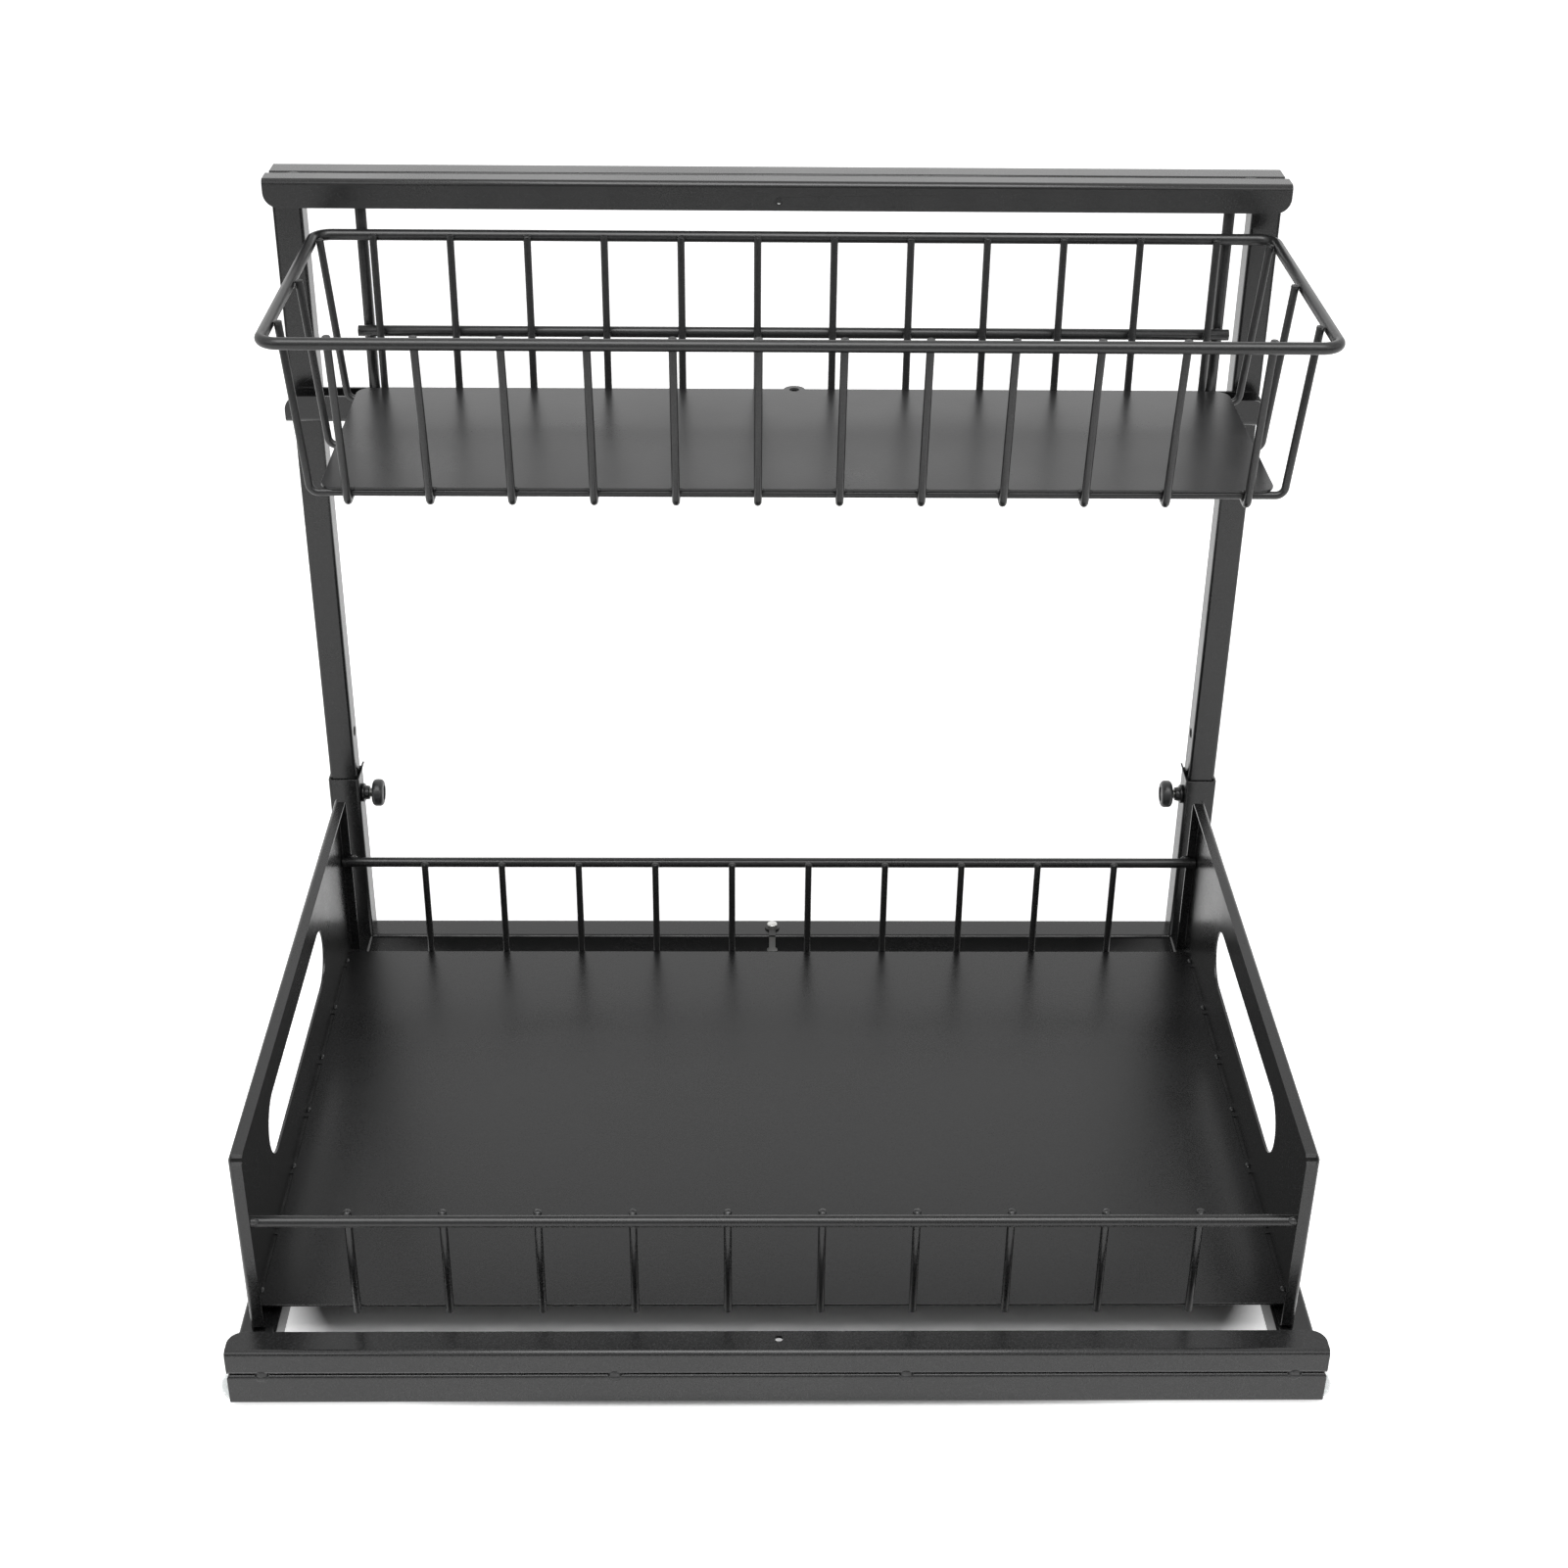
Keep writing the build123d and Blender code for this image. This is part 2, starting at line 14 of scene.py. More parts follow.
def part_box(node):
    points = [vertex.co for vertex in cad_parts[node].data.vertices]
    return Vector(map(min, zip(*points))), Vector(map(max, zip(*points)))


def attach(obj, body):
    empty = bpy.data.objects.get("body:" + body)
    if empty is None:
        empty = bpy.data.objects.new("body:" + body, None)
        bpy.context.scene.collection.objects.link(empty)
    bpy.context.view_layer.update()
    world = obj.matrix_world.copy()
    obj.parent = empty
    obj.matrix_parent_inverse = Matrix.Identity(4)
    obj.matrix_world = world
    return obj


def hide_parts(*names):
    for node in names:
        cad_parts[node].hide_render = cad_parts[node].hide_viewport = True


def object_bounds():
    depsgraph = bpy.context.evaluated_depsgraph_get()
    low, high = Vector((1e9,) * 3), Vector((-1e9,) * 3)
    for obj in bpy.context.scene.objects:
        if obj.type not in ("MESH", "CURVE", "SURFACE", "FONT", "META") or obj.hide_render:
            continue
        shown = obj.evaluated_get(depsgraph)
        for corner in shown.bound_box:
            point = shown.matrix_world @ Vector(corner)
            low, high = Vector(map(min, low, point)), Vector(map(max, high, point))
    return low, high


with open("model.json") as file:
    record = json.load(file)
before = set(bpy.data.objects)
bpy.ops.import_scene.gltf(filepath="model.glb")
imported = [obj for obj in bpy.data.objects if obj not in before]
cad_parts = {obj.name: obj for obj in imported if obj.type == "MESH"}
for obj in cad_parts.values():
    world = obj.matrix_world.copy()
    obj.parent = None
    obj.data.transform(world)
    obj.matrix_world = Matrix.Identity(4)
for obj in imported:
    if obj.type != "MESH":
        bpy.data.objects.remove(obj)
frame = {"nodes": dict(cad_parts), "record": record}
cad_low, cad_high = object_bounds()
nodes = frame["nodes"]

MM = 0.001


def millimetres(*sizes):
    """Sizes given in millimetres, in metres."""
    return tuple(size * MM for size in sizes)


# Stock sizes that the welds follow
WIRE_RADIUS = 1.5 * MM
ROD_RADIUS = 2.25 * MM
WIRE_STEP = WIRE_RADIUS + ROD_RADIUS
SHEET = 1.0 * MM
THREAD_PITCH = 0.7 * MM

# Helpers for materials

# Ranges that values are stretched from or to
UNIT = (0.0, 1.0)
FALLING = (1.0, 0.0)
NOISE_MIDDLE = (0.3, 0.7)


def new_material(name):
    """A node material with its Principled shader and an object-space coordinate."""
    material = bpy.data.materials.new(name)
    material.use_nodes = True
    tree = material.node_tree
    shader = tree.nodes["Principled BSDF"]
    coordinate = tree.nodes.new("ShaderNodeTexCoord")
    return material, tree, shader, coordinate.outputs["Object"]


def noise_value(tree, coordinate, scale, detail=2.0, roughness=0.5):
    """A noise value, about 0.5 on average, with features of about one over the scale."""
    texture = tree.nodes.new("ShaderNodeTexNoise")
    texture.inputs["Scale"].default_value = scale
    texture.inputs["Detail"].default_value = detail
    texture.inputs["Roughness"].default_value = roughness
    tree.links.new(coordinate, texture.inputs["Vector"])
    return texture.outputs["Fac"]


def mapped(tree, value, source, target):
    """The value stretched from one range to another, held at its ends."""
    node = tree.nodes.new("ShaderNodeMapRange")
    node.inputs["From Min"].default_value, node.inputs["From Max"].default_value = source
    node.inputs["To Min"].default_value, node.inputs["To Max"].default_value = target
    tree.links.new(value, node.inputs["Value"])
    return node.outputs["Result"]


def calculated(tree, operation, first, second):
    """A sum, product or power of two values. The second may be a plain number."""
    node = tree.nodes.new("ShaderNodeMath")
    node.operation = operation
    tree.links.new(first, node.inputs[0])
    if isinstance(second, float):
        node.inputs[1].default_value = second
    else:
        tree.links.new(second, node.inputs[1])
    return node.outputs[0]


def added(tree, first, second):
    """The sum of two values."""
    return calculated(tree, "ADD", first, second)


def multiplied(tree, first, second):
    """The product of two values."""
    return calculated(tree, "MULTIPLY", first, second)


def raised(tree, value, power):
    """The value to a power."""
    return calculated(tree, "POWER", value, power)


def less_share(tree, value, share):
    """1 less the given share of the value."""
    return mapped(tree, value, UNIT, (1.0, 1.0 - share))


def vector_parts(tree, vector):
    """The X, Y and Z outputs of a vector."""
    parts = tree.nodes.new("ShaderNodeSeparateXYZ")
    tree.links.new(vector, parts.inputs["Vector"])
    return parts.outputs


def colour_between(tree, value, first, second):
    """A colour between a first and a second one, of which the first may be a shader value."""
    blend = tree.nodes.new("ShaderNodeMix")
    blend.data_type = "RGBA"
    if isinstance(first, tuple):
        blend.inputs["A"].default_value = (*first, 1.0)
    else:
        tree.links.new(first, blend.inputs["A"])
    blend.inputs["B"].default_value = (*second, 1.0)
    tree.links.new(value, blend.inputs["Factor"])
    return blend.outputs["Result"]


def bumped(tree, shader, height, depth, strength=1.0, over=None):
    """Puts a bump of a real depth on the shader, over another one where that is given."""
    bump = tree.nodes.new("ShaderNodeBump")
    bump.inputs["Distance"].default_value = depth
    bump.inputs["Strength"].default_value = strength
    tree.links.new(height, bump.inputs["Height"])
    if over:
        tree.links.new(over, bump.inputs["Normal"])
    tree.links.new(bump.outputs["Normal"], shader.inputs["Normal"])
    return bump.outputs["Normal"]


def round_spots(tree, coordinate, places, radius):
    """1 inside the round spots at the given (x, z) places of an upright face, 0 outside them."""
    flat = tree.nodes.new("ShaderNodeVectorMath")
    flat.operation = "MULTIPLY"
    flat.inputs[1].default_value = (1.0, 0.0, 1.0)
    tree.links.new(coordinate, flat.inputs[0])
    total = None
    for x, z in places:
        reach = tree.nodes.new("ShaderNodeVectorMath")
        reach.operation = "DISTANCE"
        reach.inputs[1].default_value = (x, 0.0, z)
        tree.links.new(flat.outputs["Vector"], reach.inputs[0])
        edge = (PLUG_SOLID_SHARE * radius, radius)
        spot = mapped(tree, reach.outputs["Value"], edge, FALLING)
        total = added(tree, total, spot) if total else spot
    return total


# Materials

# Features of the surfaces for each metre, and how deep they are
FLECK_SCALE = 1300.0
COAT_DRIFT_SCALE = 22.0
PEEL_SCALE = 620.0
PEEL_DEPTH = 0.05 * MM
PLUG_LUMP_SCALE = 260.0
PLUG_LUMP_DEPTH = 0.8 * MM
PLUG_RADIUS = 2.6 * MM
PLUG_SOLID_SHARE = 0.7
GRAIN_SCALE = 2400.0
GRAIN_DEPTH = 0.04 * MM
PLASTIC_DRIFT_SCALE = 140.0
CLOUD_SCALE = 420.0
CLOUD_DEPTH = 0.03 * MM
THREAD_DEPTH = 0.25 * MM
HAZE_SCALE = 260.0
HAZE_DEPTH = 0.05 * MM
WASHER_EDGE = 0.4 * MM
SOFT_BUMP = 0.5
FAINT_BUMP = 0.4

# The wave texture's bands repeat every tau / (20 x scale)
WAVE_FACTOR = 20.0

# Powder coat: the noise that shows as flecks, how much flecks and drift lighten it, the sum of
# both noises that spans its gloss, and what a plug weld adds
FLECK_RANGE = (0.42, 0.72)
FLECK_WEIGHT = (0.0, 0.8)
DRIFT_WEIGHT = (0.0, 0.2)
GLOSS_RANGE = (0.7, 1.3)
PLUG_LUMP_RANGE = (0.6, 1.2)
PLUG_DULLNESS = (0.0, 0.10)

# The other surfaces: darkest and lightest colour, lowest and highest roughness, optical values
PLASTIC_ROUGHNESS = (0.26, 0.42)
PLATE_COLOURS = ((0.52, 0.52, 0.50), (0.78, 0.78, 0.76))
PLATE_ROUGHNESS = (0.2, 0.38)
STRAP_COLOURS = ((0.42, 0.42, 0.41), (0.62, 0.62, 0.60))
STRAP_ROUGHNESS = (0.28, 0.45)
WASHER_COLOUR = (0.02, 0.02, 0.02)
VINYL_COLOURS = ((0.72, 0.74, 0.74), (0.90, 0.92, 0.92))
VINYL_ROUGHNESS = (0.12, 0.3)
VINYL_CLEARNESS = 0.75
VINYL_IOR = 1.45
STRAP_METALLIC = 0.85


def powder_coat(name, dark, light, gloss, weld_spots=None):
    """Satin black powder coat: orange peel, fine flecks, gloss that drifts between two roughness
    values, and raised plug welds where given."""
    material, tree, shader, coordinate = new_material(name)
    flecks = noise_value(tree, coordinate, FLECK_SCALE, detail=3.0, roughness=0.7)
    drift = noise_value(tree, coordinate, COAT_DRIFT_SCALE)
    peel = noise_value(tree, coordinate, PEEL_SCALE, detail=4.0, roughness=0.6)
    fleck_share = mapped(tree, flecks, FLECK_RANGE, FLECK_WEIGHT)
    drift_share = mapped(tree, drift, NOISE_MIDDLE, DRIFT_WEIGHT)
    colour = colour_between(tree, added(tree, fleck_share, drift_share), dark, light)
    tree.links.new(colour, shader.inputs["Base Color"])
    roughness = mapped(tree, added(tree, flecks, drift), GLOSS_RANGE, gloss)
    tree.links.new(roughness, shader.inputs["Roughness"])
    fine = bumped(tree, shader, peel, PEEL_DEPTH, SOFT_BUMP)
    if weld_spots:
        spots = round_spots(tree, coordinate, weld_spots, PLUG_RADIUS)
        lumps = noise_value(tree, coordinate, PLUG_LUMP_SCALE)
        lumps = mapped(tree, lumps, UNIT, PLUG_LUMP_RANGE)
        bumped(tree, shader, multiplied(tree, spots, lumps), PLUG_LUMP_DEPTH, over=fine)
        duller = mapped(tree, spots, UNIT, PLUG_DULLNESS)
        tree.links.new(added(tree, roughness, duller), shader.inputs["Roughness"])
    return material


def moulded_plastic(name, dark, light):
    """Black moulded plastic with a fine spark-eroded grain."""
    material, tree, shader, coordinate = new_material(name)
    grain = noise_value(tree, coordinate, GRAIN_SCALE)
    drift = noise_value(tree, coordinate, PLASTIC_DRIFT_SCALE)
    tree.links.new(colour_between(tree, drift, dark, light), shader.inputs["Base Color"])
    roughness = mapped(tree, grain, NOISE_MIDDLE, PLASTIC_ROUGHNESS)
    tree.links.new(roughness, shader.inputs["Roughness"])
    bumped(tree, shader, grain, GRAIN_DEPTH, SOFT_BUMP)
    return material


def plated_steel(name, thread_pitch=None):
    """Bright zinc plate, with thread ridges round the x axis where a pitch is given."""
    material, tree, shader, coordinate = new_material(name)
    shader.inputs["Metallic"].default_value = 1.0
    cloud = noise_value(tree, coordinate, CLOUD_SCALE, detail=3.0)
    tree.links.new(colour_between(tree, cloud, *PLATE_COLOURS), shader.inputs["Base Color"])
    roughness = mapped(tree, cloud, NOISE_MIDDLE, PLATE_ROUGHNESS)
    tree.links.new(roughness, shader.inputs["Roughness"])
    if thread_pitch:
        wave = tree.nodes.new("ShaderNodeTexWave")
        wave.bands_direction = "X"
        wave.inputs["Scale"].default_value = math.tau / (WAVE_FACTOR * thread_pitch)
        tree.links.new(coordinate, wave.inputs["Vector"])
        bumped(tree, shader, wave.outputs["Fac"], THREAD_DEPTH)
    else:
        bumped(tree, shader, cloud, CLOUD_DEPTH, FAINT_BUMP)
    return material


def clear_vinyl(name):
    """Soft clear vinyl with a slight haze."""
    material, tree, shader, coordinate = new_material(name)
    haze = noise_value(tree, coordinate, HAZE_SCALE, detail=3.0)
    tree.links.new(colour_between(tree, haze, *VINYL_COLOURS), shader.inputs["Base Color"])
    roughness = mapped(tree, haze, NOISE_MIDDLE, VINYL_ROUGHNESS)
    tree.links.new(roughness, shader.inputs["Roughness"])
    shader.inputs["Transmission Weight"].default_value = VINYL_CLEARNESS
    shader.inputs["IOR"].default_value = VINYL_IOR
    bumped(tree, shader, haze, HAZE_DEPTH, SOFT_BUMP)
    return material


def strap_steel(name, washer_height):
    """Zinc-plated strap, with a black washer on the part above the given height."""
    material, tree, shader, coordinate = new_material(name)
    cloud = noise_value(tree, coordinate, CLOUD_SCALE, detail=3.0)
    height = vector_parts(tree, coordinate)["Z"]
    washer = mapped(tree, height, (washer_height - WASHER_EDGE, washer_height), UNIT)
    zinc = colour_between(tree, cloud, *STRAP_COLOURS)
    colour = colour_between(tree, washer, zinc, WASHER_COLOUR)
    tree.links.new(colour, shader.inputs["Base Color"])
    metallic = mapped(tree, washer, UNIT, (STRAP_METALLIC, 0.0))
    tree.links.new(metallic, shader.inputs["Metallic"])
    roughness = mapped(tree, cloud, NOISE_MIDDLE, STRAP_ROUGHNESS)
    tree.links.new(roughness, shader.inputs["Roughness"])
    bumped(tree, shader, cloud, CLOUD_DEPTH, FAINT_BUMP)
    return material


# Plug welds of the front bar, as shares of its half width and as (x, z) places on its face
PLUG_WELD_SHARES = (-0.937, -0.298, 0.232, 0.941)
PLUG_DROP = 0.3 * MM
tube_low, tube_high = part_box("front_tube")
half_width = tube_high.x
plug_places = [(share * half_width, tube_high.z - PLUG_DROP) for share in PLUG_WELD_SHARES]

COAT_DARK, COAT_LIGHT = (0.006, 0.0061, 0.0062), (0.018, 0.0182, 0.0185)
frame_coat = powder_coat("frame_powder_coat", dark=COAT_DARK, light=COAT_LIGHT, gloss=(0.20, 0.29))
# The front bar's coat is lighter than the frame's. This is painted light, standing in for the
# brighter light on its front faces. Its plug welds are real bumps with duller gloss.
bar_coat_with_painted_light = powder_coat("front_bar_coat_with_painted_light", dark=(0.009, 0.0091, 0.0093),
                       light=(0.028, 0.0283, 0.0288), gloss=(0.20, 0.29), weld_spots=plug_places)
# Weld beads wear the coat made lighter, a painted highlight for the light their bumps catch, and
# rougher.
weld_coat_painted_highlight = powder_coat("weld_coat_with_painted_highlight", dark=(0.012, 0.0122, 0.0125),
                        light=(0.040, 0.0405, 0.041), gloss=(0.26, 0.40))
tray_coat = powder_coat("tray_powder_coat", dark=COAT_DARK, light=COAT_LIGHT, gloss=(0.24, 0.34))
basket_coat = powder_coat("basket_powder_coat", dark=(0.009, 0.0091, 0.0093),
                          light=(0.027, 0.0273, 0.0278), gloss=(0.27, 0.36))
knob_material = moulded_plastic("black_moulded_plastic", dark=(0.020, 0.0205, 0.021),
                                light=(0.040, 0.041, 0.042))
plate_material = plated_steel("zinc_plate")
thread_material = plated_steel("threaded_zinc_plate", thread_pitch=THREAD_PITCH)
cup_material = clear_vinyl("clear_vinyl")
strap_material = strap_steel("zinc_strap_with_washer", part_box("rear_tube")[1].z)

BY_SLOT = {"frame_paint": frame_coat, "tray_paint": tray_coat, "basket_paint": basket_coat,
           "knob_plastic": knob_material, "plated_steel": plate_material,
           "clear_cup": cup_material}


def dress(node, material):
    """Gives a CAD node one material."""
    mesh = nodes[node].data
    mesh.materials.clear()
    mesh.materials.append(material)


for row in frame["record"]["subparts"]:
    dress(row["node"], BY_SLOT[row["material_slot"]])
for node in ("left_thumb_screw", "right_thumb_screw"):
    dress(node, thread_material)
dress("rear_clip", strap_material)
# The front bar takes the coat that is lightened with painted light.
for node in ("front_tube", "front_channel"):
    dress(node, bar_coat_with_painted_light)


# Helpers for pieces

# Broken edges
SHEET_BEVEL = 0.30 * MM
CHANNEL_BEVEL = 0.35 * MM
TUBE_BEVEL = 0.22 * MM
TIP_BEVEL = 0.9 * MM
TIP_SEGMENTS = 3
BEVEL_ANGLE = math.radians(35.0)
FACE_MERGE_DISTANCE = 0.0001 * MM

# The beads' lumps, and the steps through the noise that make every bead another one
BEAD_SUBDIVISIONS = 3
LUMP_SHARE = 0.16
LUMP_SCALE = 1.6
BEAD_NOISE_STEP = (3.7, 1.3, 1.9)

# Strips of coat in the joints: their steps, ripples and the noise's step from strip to strip
STRIP_STEPS = 60
RIPPLE_HEIGHT = 0.15 * MM
RIPPLES_PER_METRE = 90.0
STRIP_NOISE_STEP = 5.0

# How far the wires' tips are cropped, which part of a wire is its tip, and how near two of its
# mesh points lie to count as one
TRAY_TIP_DROP = 2.7 * MM
BASKET_TIP_DROP = 1.0 * MM
TIP_DEPTH = 0.8 * MM
ISLAND_MERGE_DISTANCE = 0.001 * MM


def soften(piece, width, segments=2):
    """Joins the faces of a piece from CAD and breaks its cut edges with a small bevel that
    catches the light."""
    weld = piece.modifiers.new("joined_faces", "WELD")
    weld.merge_threshold = FACE_MERGE_DISTANCE
    bevel = piece.modifiers.new("broken_edges", "BEVEL")
    bevel.width = width
    bevel.segments = segments
    bevel.limit_method = "ANGLE"
    bevel.angle_limit = BEVEL_ANGLE
    bevel.harden_normals = True


def add_piece(name, mesh, body):
    """Puts a mesh in the scene as a piece that moves with a body."""
    piece = bpy.data.objects.new(name, mesh)
    bpy.context.scene.collection.objects.link(piece)
    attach(piece, body)
    return piece


def weld_beads(name, body, material, places, seed):
    """Weld beads at the given places: each is (centre, half sizes), a lumpy flattened ball."""
    shape = bmesh.new()
    step_x, step_y, step_z = BEAD_NOISE_STEP
    for index, (centre, half) in enumerate(places):
        ball = bmesh.ops.create_icosphere(shape, subdivisions=BEAD_SUBDIVISIONS, radius=1.0)
        offset = Vector((index * step_x + seed, seed * step_y, index * step_z))
        for vertex in ball["verts"]:
            lump = 1.0 + LUMP_SHARE * noise.noise(vertex.co * LUMP_SCALE + offset)
            reach = Vector([a * b * lump for a, b in zip(vertex.co, half)])
            vertex.co = Vector(centre) + reach
    mesh = bpy.data.meshes.new(name)
    shape.to_mesh(mesh)
    shape.free()
    mesh.shade_smooth()
    mesh.materials.append(material)
    return add_piece(name, mesh, body)


def coat_strip(name, body, material, place_at, start, end, seed):
    """A thin strip of coat in a joint: place_at(distance, ripple) gives the corners of its
    cross-section."""
    shape = bmesh.new()
    rows = []
    for step in range(STRIP_STEPS + 1):
        along = start + (end - start) * step / STRIP_STEPS
        place = Vector((seed * STRIP_NOISE_STEP, along * RIPPLES_PER_METRE, 0.0))
        ripple = RIPPLE_HEIGHT * noise.noise(place)
        rows.append([shape.verts.new(point) for point in place_at(along, ripple)])
    for first, second in zip(rows, rows[1:]):
        for index in range(len(first)):
            after = (index + 1) % len(first)
            shape.faces.new((first[index], first[after], second[after], second[index]))
    shape.faces.new(rows[0])
    shape.faces.new(reversed(rows[-1]))
    bmesh.ops.recalc_face_normals(shape, faces=shape.faces)
    mesh = bpy.data.meshes.new(name)
    shape.to_mesh(mesh)
    shape.free()
    mesh.materials.append(material)
    return add_piece(name, mesh, body)


def cropped_wires(node, body, drop):
    """Stands for a wire node, with its upper tips cropped by a small height."""
    mesh = nodes[node].data.copy()
    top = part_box(node)[1].z
    for vertex in mesh.vertices:
        if vertex.co.z > top - TIP_DEPTH:
            vertex.co.z -= drop
    piece = add_piece(node + "_cropped", mesh, body)
    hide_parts(node)
    return piece


def wire_centres(node):
    """The x of each separate wire of a node, in order, from the loose islands of its mesh."""
    mesh = bmesh.new()
    mesh.from_mesh(nodes[node].data)
    bmesh.ops.remove_doubles(mesh, verts=mesh.verts, dist=ISLAND_MERGE_DISTANCE)
    seen = set()
    found = []
    for start in mesh.verts:
        if start.index in seen:
            continue
        stack = [start]
        seen.add(start.index)
        values = []
        while stack:
            vertex = stack.pop()
            values.append(vertex.co.x)
            for edge in vertex.link_edges:
                other = edge.other_vert(vertex)
                if other.index not in seen:
                    seen.add(other.index)
                    stack.append(other)
        found.append((min(values) + max(values)) / 2)
    mesh.free()
    return sorted(found)


def box_middle(node):
    """The middle of a node's box."""
    low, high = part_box(node)
    return (low + high) / 2


# Welds and coats

# Most beads wear the weld coat, which is lightened as a painted highlight.
# Half sizes of the weld beads in x, y and z
PLUG_BEAD = millimetres(2.9, 0.95, 2.4)
TOP_SEAM_BEAD = millimetres(3.4, 1.7, 0.8)
TIP_BEAD = millimetres(1.6, 1.6, 0.9)
FLOOR_EDGE_BEAD = millimetres(1.3, 0.9, 0.8)
CROSSING_BEAD = millimetres(1.8, 0.9, 1.8)
UPRIGHT_BEAD = millimetres(2.2, 1.0, 2.0)
RAIL_BEAD = millimetres(2.0, 1.0, 1.6)
ROD_END_BEAD = millimetres(2.3, 1.4, 1.7)
TAB_BEAD = millimetres(0.9, 1.6, 0.6)

# Where the beads lie on what they join
PLUG_DEPTH = 1.15 * MM
TOP_SEAM_BEAD_DROP = 0.9 * MM
RIM_BEAD_RISE = 0.7 * MM
FLOOR_EDGE_INSET = 0.3 * MM
FLOOR_EDGE_DROP = 0.5 * MM
TIP_BEAD_DROP = 0.4 * MM
ROD_END_INSET = 0.8 * MM
ROD_END_SETBACK = 1.6 * MM
ROD_END_RISE = 1.2 * MM
TAB_BEAD_INSET = 0.6 * MM
TAB_BEAD_RISE = 0.1 * MM

# Plug welds in the groove between the front tube and the channel on it
plug_beads = [((x, tube_low.y + PLUG_DEPTH, z), PLUG_BEAD) for x, z in plug_places]
# The groove welds share the front bar's coat, which is lightened with painted light.
weld_beads("groove_welds", "base", bar_coat_with_painted_light, plug_beads, seed=1.0)

# Welds along the seam between the top channel and the top tube
TOP_WELD_SHARES = (-0.946, -0.387, 0.289, 0.926)
top_low, top_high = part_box("top_tube")
top_weld_z = top_high.z - TOP_SEAM_BEAD_DROP
top_beads = [((share * half_width, top_low.y, top_weld_z), TOP_SEAM_BEAD)
             for share in TOP_WELD_SHARES]
weld_beads("top_seam_welds", "upper_frame", weld_coat_painted_highlight, top_beads, seed=2.0)

# The coat in the groove between the top tube and its channel
TOP_SEAM_SHARE = 0.985
TOP_SEAM_DROP = 0.45 * MM
TOP_SEAM_REACH = 1.3 * MM
TOP_SEAM_DEPTH = 0.9 * MM
TOP_SEAM_CROWN = 0.1 * MM


def top_seam_profile(along, ripple):
    """The coat in the groove between the top tube and the top channel, just below both."""
    front, rear = top_low.y - TOP_SEAM_REACH, top_low.y + TOP_SEAM_REACH
    crown = top_high.z - TOP_SEAM_DROP
    edge, bottom = crown - TOP_SEAM_CROWN, crown - TOP_SEAM_DEPTH
    return [(along, front, bottom), (along, front, edge), (along, top_low.y, crown + ripple),
            (along, rear, edge), (along, rear, bottom)]


top_seam = coat_strip("top_seam", "upper_frame", frame_coat, top_seam_profile,
                      -TOP_SEAM_SHARE * half_width, TOP_SEAM_SHARE * half_width, seed=3)
top_seam.data.shade_smooth()

# Basket: a bead where each wire meets the rim, in front, behind and at the ends
rim_low, rim_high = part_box("basket_rim")
rim_z = rim_high.z - ROD_RADIUS
cross_columns = wire_centres("basket_cross_wires")
rim_beads = []
for x in cross_columns:
    for y in (rim_low.y + ROD_RADIUS + WIRE_STEP, rim_high.y - ROD_RADIUS - WIRE_STEP):
        rim_beads.append(((x, y, rim_z + RIM_BEAD_RISE), TIP_BEAD))
for node in ("front_long_wire", "middle_long_wire", "rear_long_wire"):
    y = box_middle(node).y
    for x in (rim_low.x + ROD_RADIUS + WIRE_STEP, rim_high.x - ROD_RADIUS - WIRE_STEP):
        rim_beads.append(((x, y, rim_z + RIM_BEAD_RISE), TIP_BEAD))
weld_beads("rim_welds", "basket", weld_coat_painted_highlight, rim_beads, seed=3.0)

# Basket: a bead each side of every cross wire, where it turns up at the floor's front edge
basket_floor_low, basket_floor_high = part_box("basket_floor")
floor_edge_y = basket_floor_low.y + FLOOR_EDGE_INSET
floor_edge_z = basket_floor_high.z - FLOOR_EDGE_DROP
floor_edge_beads = [((x + side * WIRE_RADIUS, floor_edge_y, floor_edge_z), FLOOR_EDGE_BEAD)
                    for x in cross_columns for side in (-1, 1)]
weld_beads("floor_edge_welds", "basket", basket_coat, floor_edge_beads,
           seed=4.0)

# Basket: beads where the wires cross the rod at the back, and the uprights the rim and the rod
cross_rod_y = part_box("basket_cross_rod")[0].y
cross_rod_z = box_middle("basket_cross_rod").z
rod_beads = [((x, cross_rod_y, cross_rod_z), CROSSING_BEAD) for x in cross_columns]
for node in ("left_upright", "right_upright"):
    x, y = box_middle(node).x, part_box(node)[0].y
    for z in (rim_z, cross_rod_z):
        rod_beads.append(((x, y, z), UPRIGHT_BEAD))
weld_beads("rod_welds", "basket", weld_coat_painted_highlight, rod_beads, seed=5.0)

# Tray: beads where each wire meets its rod, and at the rods' ends against the panels' flanges
rod_end_columns = (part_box("left_side_panel")[1].x + ROD_END_INSET,
                   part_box("right_side_panel")[0].x - ROD_END_INSET)
rail_beads = []
for wires, rod, side in (("tray_front_wires", "tray_front_rod", 1),
                         ("tray_rear_wires", "tray_rear_rod", -1)):
    rod_y, rod_z = box_middle(rod).y, box_middle(rod).z
    tip_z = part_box(wires)[1].z - TRAY_TIP_DROP - TIP_BEAD_DROP
    for x in wire_centres(wires):
        rail_beads.append(((x, rod_y + side * WIRE_STEP, tip_z), TIP_BEAD))
        rail_beads.append(((x, rod_y + side * ROD_RADIUS, rod_z), RAIL_BEAD))
    for x in rod_end_columns:
        place = (x, rod_y - side * ROD_END_SETBACK, rod_z + ROD_END_RISE)
        rail_beads.append((place, ROD_END_BEAD))
weld_beads("tray_rail_welds", "tray", weld_coat_painted_highlight, rail_beads, seed=6.0)

